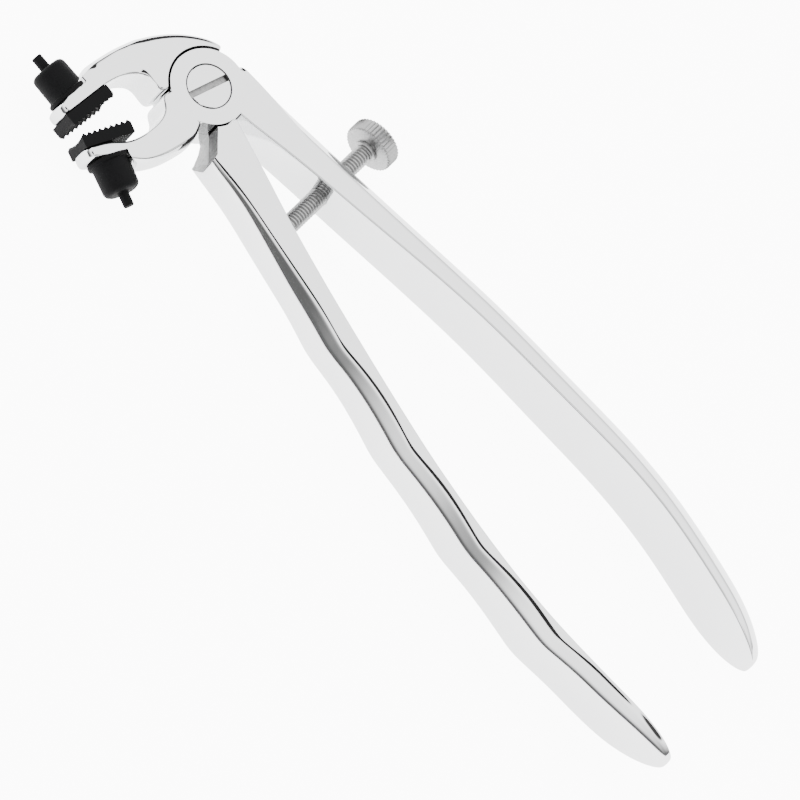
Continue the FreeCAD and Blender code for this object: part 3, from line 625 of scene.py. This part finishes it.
def pad(settings, rubber, jaw_name):
    """A toothed, hollowed pad with its plug: neck, rim, bulb and tail in one moulding."""
    count, depth = settings.tooth_count, settings.tooth_height
    low, pitch = PAD_SHIFT[jaw_name] - PAD_LENGTH / 2, PAD_LENGTH / count
    high = low + PAD_LENGTH
    outline = [(low + 0.15, 0), (low, -0.15), (low, -PAD_HEIGHT + depth)]
    for tooth in range(count):
        start = low + pitch * tooth
        outline += [(start + pitch * share, -PAD_HEIGHT + dip * depth)
                    for share, dip in ((0.08, 0.85), (0.44, 0.03), (0.56, 0.03), (0.92, 0.85))]
    outline += [(high, -PAD_HEIGHT + depth), (high, -0.15), (high - 0.15, 0)]
    bm = bmesh.new()
    face = bm.faces.new([bm.verts.new((x, -PAD_HALF_WIDTH, z)) for x, z in outline])
    grown = bmesh.ops.extrude_face_region(bm, geom=[face])["geom"]
    bmesh.ops.translate(bm, verts=[v for v in grown if isinstance(v, bmesh.types.BMVert)],
                        vec=(0, 2 * PAD_HALF_WIDTH, 0))
    for share in (-0.96, -0.8, -0.6, -0.4, -0.2, 0, 0.2, 0.4, 0.6, 0.8, 0.96):
        bmesh.ops.bisect_plane(bm, geom=bm.verts[:] + bm.edges[:] + bm.faces[:],
                               plane_co=(0, share * PAD_HALF_WIDTH, 0), plane_no=(0, 1, 0))
    for vert in bm.verts:
        if vert.co.z < -1.5:
            share = vert.co.y / PAD_HALF_WIDTH
            vert.co.z += settings.hollow * (1 - share * share)
            vert.co.z += 0.12 if abs(share) > 0.98 else 0.0
    bmesh.ops.transform(bm, matrix=seat_frame(jaw_name), verts=bm.verts)
    block = from_bmesh(jaw_name + "_pad_rubber", bm)
    rim = JAW_PLATE
    neck = [(0, -1.4), (2.45, -1.4), (2.45, rim)]
    flange = [(4.35, rim), (4.5, rim + 0.12), (4.5, rim + 0.55), (4.42, rim + 0.8), (4.1, rim + 0.98),
              (3.95, rim + 1.0)]
    bulb = [(3.87, rim + 1.1), (3.85, 5.0), (3.78, 8.7), (3.68, 9.15), (3.4, 9.55), (2.95, 9.82), (2.4, 9.9)]
    tail = [(1.35, 9.9), (1.15, 10.0), (1.1, 10.2), (1.08, 12.7), (1.0, 12.85), (0.85, 12.9), (0, 12.9)]
    plug = lathe("plug", neck + flange + bulb + tail, seat_frame(jaw_name), 96)
    shapes = coated(rubber, block, plug)
    whole = combined(shapes[0], shapes[1:], "UNION")
    shade(whole, 40)
    return finished(whole, SEAT_BODY[jaw_name], "black_rubber", jaw_name + "_pad")


# ---------------------------------------------------------------- finishes


def new_material(name):
    material = bpy.data.materials.new(name)
    material.use_nodes = True
    tree = material.node_tree
    tree.nodes.clear()
    surface = tree.nodes.new("ShaderNodeBsdfPrincipled")
    output = tree.nodes.new("ShaderNodeOutputMaterial")
    tree.links.new(surface.outputs["BSDF"], output.inputs["Surface"])
    return material, tree, surface


def surface_marks():
    """A shared effect: fine marks over a surface, as a roughness and as a normal."""
    group = bpy.data.node_groups.new("Surface marks", "ShaderNodeTree")
    face = group.interface
    for name, value in (("Scale", 400.0), ("Stretch", 1.0), ("Least", 0.05), ("Most", 0.1), ("Relief", 0.05)):
        socket = face.new_socket(name, in_out="INPUT", socket_type="NodeSocketFloat")
        socket.default_value = value
    face.new_socket("Roughness", in_out="OUTPUT", socket_type="NodeSocketFloat")
    face.new_socket("Normal", in_out="OUTPUT", socket_type="NodeSocketVector")
    face.new_socket("Mask", in_out="OUTPUT", socket_type="NodeSocketFloat")
    nodes, link = group.nodes, group.links.new
    inputs, outputs = nodes.new("NodeGroupInput"), nodes.new("NodeGroupOutput")
    coordinates = nodes.new("ShaderNodeTexCoord")
    stretch = nodes.new("ShaderNodeCombineXYZ")
    stretch.inputs["Y"].default_value = stretch.inputs["Z"].default_value = 1
    scaled = nodes.new("ShaderNodeVectorMath")
    scaled.operation = "MULTIPLY"
    noise = nodes.new("ShaderNodeTexNoise")
    noise.inputs["Detail"].default_value = 4
    noise.inputs["Roughness"].default_value = 0.6
    span = nodes.new("ShaderNodeMapRange")
    span.inputs["From Min"].default_value = 0.3
    span.inputs["From Max"].default_value = 0.7
    bump = nodes.new("ShaderNodeBump")
    bump.inputs["Distance"].default_value = 0.00005
    link(inputs.outputs["Stretch"], stretch.inputs["X"])
    link(coordinates.outputs["Object"], scaled.inputs[0])
    link(stretch.outputs["Vector"], scaled.inputs[1])
    link(scaled.outputs["Vector"], noise.inputs["Vector"])
    link(inputs.outputs["Scale"], noise.inputs["Scale"])
    link(noise.outputs["Fac"], span.inputs["Value"])
    link(inputs.outputs["Least"], span.inputs["To Min"])
    link(inputs.outputs["Most"], span.inputs["To Max"])
    link(inputs.outputs["Relief"], bump.inputs["Strength"])
    link(noise.outputs["Fac"], bump.inputs["Height"])
    link(span.outputs["Result"], outputs.inputs["Roughness"])
    link(bump.outputs["Normal"], outputs.inputs["Normal"])
    link(noise.outputs["Fac"], outputs.inputs["Mask"])
    return group


def marked(tree, surface, marks, **values):
    """Places the shared marks in a material and feeds its roughness and normal."""
    node = tree.nodes.new("ShaderNodeGroup")
    node.node_tree = marks
    for name, value in values.items():
        node.inputs[name].default_value = value
    tree.links.new(node.outputs["Roughness"], surface.inputs["Roughness"])
    tree.links.new(node.outputs["Normal"], surface.inputs["Normal"])
    return node


def shared_marks():
    return bpy.data.node_groups.get("Surface marks") or surface_marks()


def tinted(tree, node, surface, dark, light):
    """Varies the colour between two close tones by the shared marks."""
    ramp = tree.nodes.new("ShaderNodeValToRGB")
    ramp.color_ramp.elements[0].color = (*dark, 1)
    ramp.color_ramp.elements[1].color = (*light, 1)
    ramp.color_ramp.elements[0].position = 0.3
    ramp.color_ramp.elements[1].position = 0.7
    tree.links.new(node.outputs["Mask"], ramp.inputs["Fac"])
    tree.links.new(ramp.outputs["Color"], surface.inputs["Base Color"])


def polished_steel(settings):
    if "Polished steel" in bpy.data.materials:
        return bpy.data.materials["Polished steel"]
    material, tree, surface = new_material("Polished steel")
    surface.inputs["Metallic"].default_value = 1
    node = marked(tree, surface, shared_marks(), Scale=900.0, Stretch=0.25, Least=settings.polish * 0.8,
                  Most=settings.polish * 1.25, Relief=0.006)
    steel = tuple(settings.steel)
    tinted(tree, node, surface, [c * 0.985 for c in steel], steel)
    return material


def satin_steel(settings):
    if "Satin steel" in bpy.data.materials:
        return bpy.data.materials["Satin steel"]
    material, tree, surface = new_material("Satin steel")
    surface.inputs["Metallic"].default_value = 1
    node = marked(tree, surface, shared_marks(), Scale=2600.0, Stretch=1.0, Least=0.24, Most=0.42,
                  Relief=0.12)
    steel = tuple(settings.steel)
    tinted(tree, node, surface, [c * 0.8 for c in steel], [c * 1.12 for c in steel])
    return material


def unpolished_steel_or_painted_shade(name, tone, least, most, relief):
    """Steel without a polish, of one tone: the cut steel, and the near-black steels that paint shade into the
    gaps, holes and pocket.
    """
    if name in bpy.data.materials:
        return bpy.data.materials[name]
    material, tree, surface = new_material(name)
    surface.inputs["Metallic"].default_value = 1
    node = marked(tree, surface, shared_marks(), Scale=1400.0, Stretch=0.6, Least=least, Most=most,
                  Relief=relief)
    tinted(tree, node, surface, [tone * 0.45] * 3, [tone * 1.3] * 3)
    return material


# Near-black steel that paints shade into the gap round the joint disc and into the bore, head seat and stud
# hole.
def gap_shade_steel():
    return unpolished_steel_or_painted_shade("Painted gap shade", 0.06, 0.4, 0.6, 0.1)


def cut_steel():
    return unpolished_steel_or_painted_shade("Cut steel", 0.3, 0.3, 0.6, 0.5)


# Near-black steel that paints shade onto the upright wall of the V pocket.
def pocket_shade_steel():
    return unpolished_steel_or_painted_shade("Painted pocket shade", 0.035, 0.35, 0.6, 0.6)


def black_rubber(settings):
    if "Black rubber" in bpy.data.materials:
        return bpy.data.materials["Black rubber"]
    material, tree, surface = new_material("Black rubber")
    surface.inputs["Specular IOR Level"].default_value = 0.06
    node = marked(tree, surface, shared_marks(), Scale=3500.0, Stretch=1.0, Least=0.5, Most=0.72,
                  Relief=0.25)
    rubber = tuple(settings.rubber)
    tinted(tree, node, surface, [c * 0.6 for c in rubber], [c * 1.5 for c in rubber])
    return material


# ---------------------------------------------------------------- operators


class PLIERS_OT_levers(Operator):
    """Builds the two polished levers"""
    bl_idname = "pliers.levers"
    bl_label = "Levers"

    def execute(self, context):
        settings = context.scene.pliers_levers
        steel = polished_steel(settings)
        front_lever(settings, steel, gap_shade_steel())
        rear_lever(settings, steel, gap_shade_steel(), pocket_shade_steel(), cut_steel())
        return {"FINISHED"}


class PLIERS_OT_pivot_screw(Operator):
    """Builds the slotted pivot screw"""
    bl_idname = "pliers.pivot_screw"
    bl_label = "Pivot screw"

    def execute(self, context):
        pivot_screw(context.scene.pliers_screws, polished_steel(context.scene.pliers_levers), cut_steel())
        return {"FINISHED"}


class PLIERS_OT_thumb_screw(Operator):
    """Builds the threaded stud and its knurled knob"""
    bl_idname = "pliers.thumb_screw"
    bl_label = "Thumb screw"

    def execute(self, context):
        settings = context.scene.pliers_screws
        steel = satin_steel(settings)
        stud(settings, steel)
        knob(settings, steel)
        return {"FINISHED"}


class PLIERS_OT_pads(Operator):
    """Builds the two rubber pads with their plugs"""
    bl_idname = "pliers.pads"
    bl_label = "Rubber pads"

    def execute(self, context):
        settings = context.scene.pliers_pads
        rubber = black_rubber(settings)
        pad(settings, rubber, "upper")
        pad(settings, rubber, "lower")
        return {"FINISHED"}


# Dark parts of the studio, which draw the lines along the steel's edges: the way each lies, then the
# tone where a direction leans that little towards it and where it leans that much.
DARK_PARTS = [
    ((0.2, 0.5, 0.843), ((0.962, 1.0), (0.976, 0.012))),
    ((0.0, -0.2, 1.0), ((0.0, 0.06), (0.5, 1.0))),
    ((-0.03, 0.517, 0.855), ((0.982, 1.0), (0.99, 0.012))),
    ((0.505, -0.808, 0.303), ((0.913, 1.0), (0.951, 0.02))),
    ((-0.62, 0.35, 0.702), ((0.94, 1.0), (0.97, 0.03))),
]


def soft_step(tree, towards, stops):
    """A tone that follows how far a direction of the surroundings leans towards another."""
    direction = tree.nodes.new("ShaderNodeTexCoord")
    lean = tree.nodes.new("ShaderNodeVectorMath")
    lean.operation = "DOT_PRODUCT"
    lean.inputs[1].default_value = towards
    span = tree.nodes.new("ShaderNodeMapRange")
    span.interpolation_type = "SMOOTHSTEP"
    (low, first), (high, last) = stops
    for socket, value in (("From Min", low), ("From Max", high), ("To Min", first), ("To Max", last)):
        span.inputs[socket].default_value = value
    tree.links.new(direction.outputs["Generated"], lean.inputs[0])
    tree.links.new(lean.outputs["Value"], span.inputs["Value"])
    return span.outputs["Result"]


class PLIERS_OT_stage(Operator):
    """Builds the floor, the light all round and the camera"""
    bl_idname = "pliers.stage"
    bl_label = "Stage"

    def execute(self, context):
        settings = context.scene.pliers_stage
        bm = bmesh.new()
        bmesh.ops.create_grid(bm, x_segments=8, y_segments=8, size=1.6)
        bmesh.ops.translate(bm, verts=bm.verts, vec=(0, 0, CAD_BOX[0][2] - 0.0005))
        floor = from_bmesh("floor", bm)
        material, tree, surface = new_material("Floor")
        surface.inputs["Base Color"].default_value = (0.97, 0.97, 0.97, 1)
        surface.inputs["Roughness"].default_value = 0.9
        surface.inputs["Specular IOR Level"].default_value = 0.0
        surface.inputs["Emission Color"].default_value = (1, 1, 1, 1)
        seen = tree.nodes.new("ShaderNodeLightPath")
        glow = tree.nodes.new("ShaderNodeMix")
        glow.inputs["A"].default_value = settings.table
        glow.inputs["B"].default_value = settings.backdrop
        tree.links.new(seen.outputs["Is Camera Ray"], glow.inputs["Factor"])
        tree.links.new(glow.outputs["Result"], surface.inputs["Emission Strength"])
        floor.data.materials.append(material)

        lens = bpy.data.cameras.new("camera")
        camera = piece_object("camera", lens)
        lens.lens = settings.lens
        lens.sensor_width = 36
        lens.clip_end = 20
        camera.location = settings.place
        camera.rotation_euler = [math.radians(angle) for angle in settings.turn]
        context.scene.camera = camera

        world = bpy.data.worlds.new("Studio")
        world.use_nodes = True
        context.scene.world = world
        tree = world.node_tree
        light = tree.nodes["Background"]
        tone = soft_step(tree, *DARK_PARTS[0])
        for towards, stops in DARK_PARTS[1:]:
            both = tree.nodes.new("ShaderNodeMath")
            both.operation = "MINIMUM"
            tree.links.new(tone, both.inputs[0])
            tree.links.new(soft_step(tree, towards, stops), both.inputs[1])
            tone = both.outputs["Value"]
        tree.links.new(tone, light.inputs["Color"])
        light.inputs["Strength"].default_value = settings.sky
        return {"FINISHED"}


class PLIERS_PT_sidebar(Panel):
    bl_label = "Soft-jaw pliers"
    bl_idname = "PLIERS_PT_sidebar"
    bl_space_type = "VIEW_3D"
    bl_region_type = "UI"
    bl_category = "Pliers"

    def draw(self, context):
        for group, operators in GROUPS:
            box = self.layout.box()
            settings = getattr(context.scene, group)
            for name in settings.__annotations__:
                box.prop(settings, name)
            for operator in operators:
                box.operator(operator)


GROUPS = [
    ("pliers_levers", ("pliers.levers",)),
    ("pliers_screws", ("pliers.pivot_screw", "pliers.thumb_screw")),
    ("pliers_pads", ("pliers.pads",)),
    ("pliers_stage", ("pliers.stage",)),
]
SETTINGS = {"pliers_levers": PliersLevers, "pliers_screws": PliersScrews, "pliers_pads": PliersPads,
            "pliers_stage": PliersStage}
CLASSES = list(SETTINGS.values()) + [
    PLIERS_OT_levers, PLIERS_OT_pivot_screw, PLIERS_OT_thumb_screw, PLIERS_OT_pads, PLIERS_OT_stage,
    PLIERS_PT_sidebar]


def register():
    for item in CLASSES:
        bpy.utils.register_class(item)
    for name, group in SETTINGS.items():
        setattr(bpy.types.Scene, name, PointerProperty(type=group))


def unregister():
    for name in SETTINGS:
        delattr(bpy.types.Scene, name)
    for item in reversed(CLASSES):
        bpy.utils.unregister_class(item)


def main():
    register()
    bpy.ops.pliers.stage()
    bpy.ops.pliers.levers()
    bpy.ops.pliers.pivot_screw()
    bpy.ops.pliers.thumb_screw()
    bpy.ops.pliers.pads()


if __name__ == "__main__":
    main()
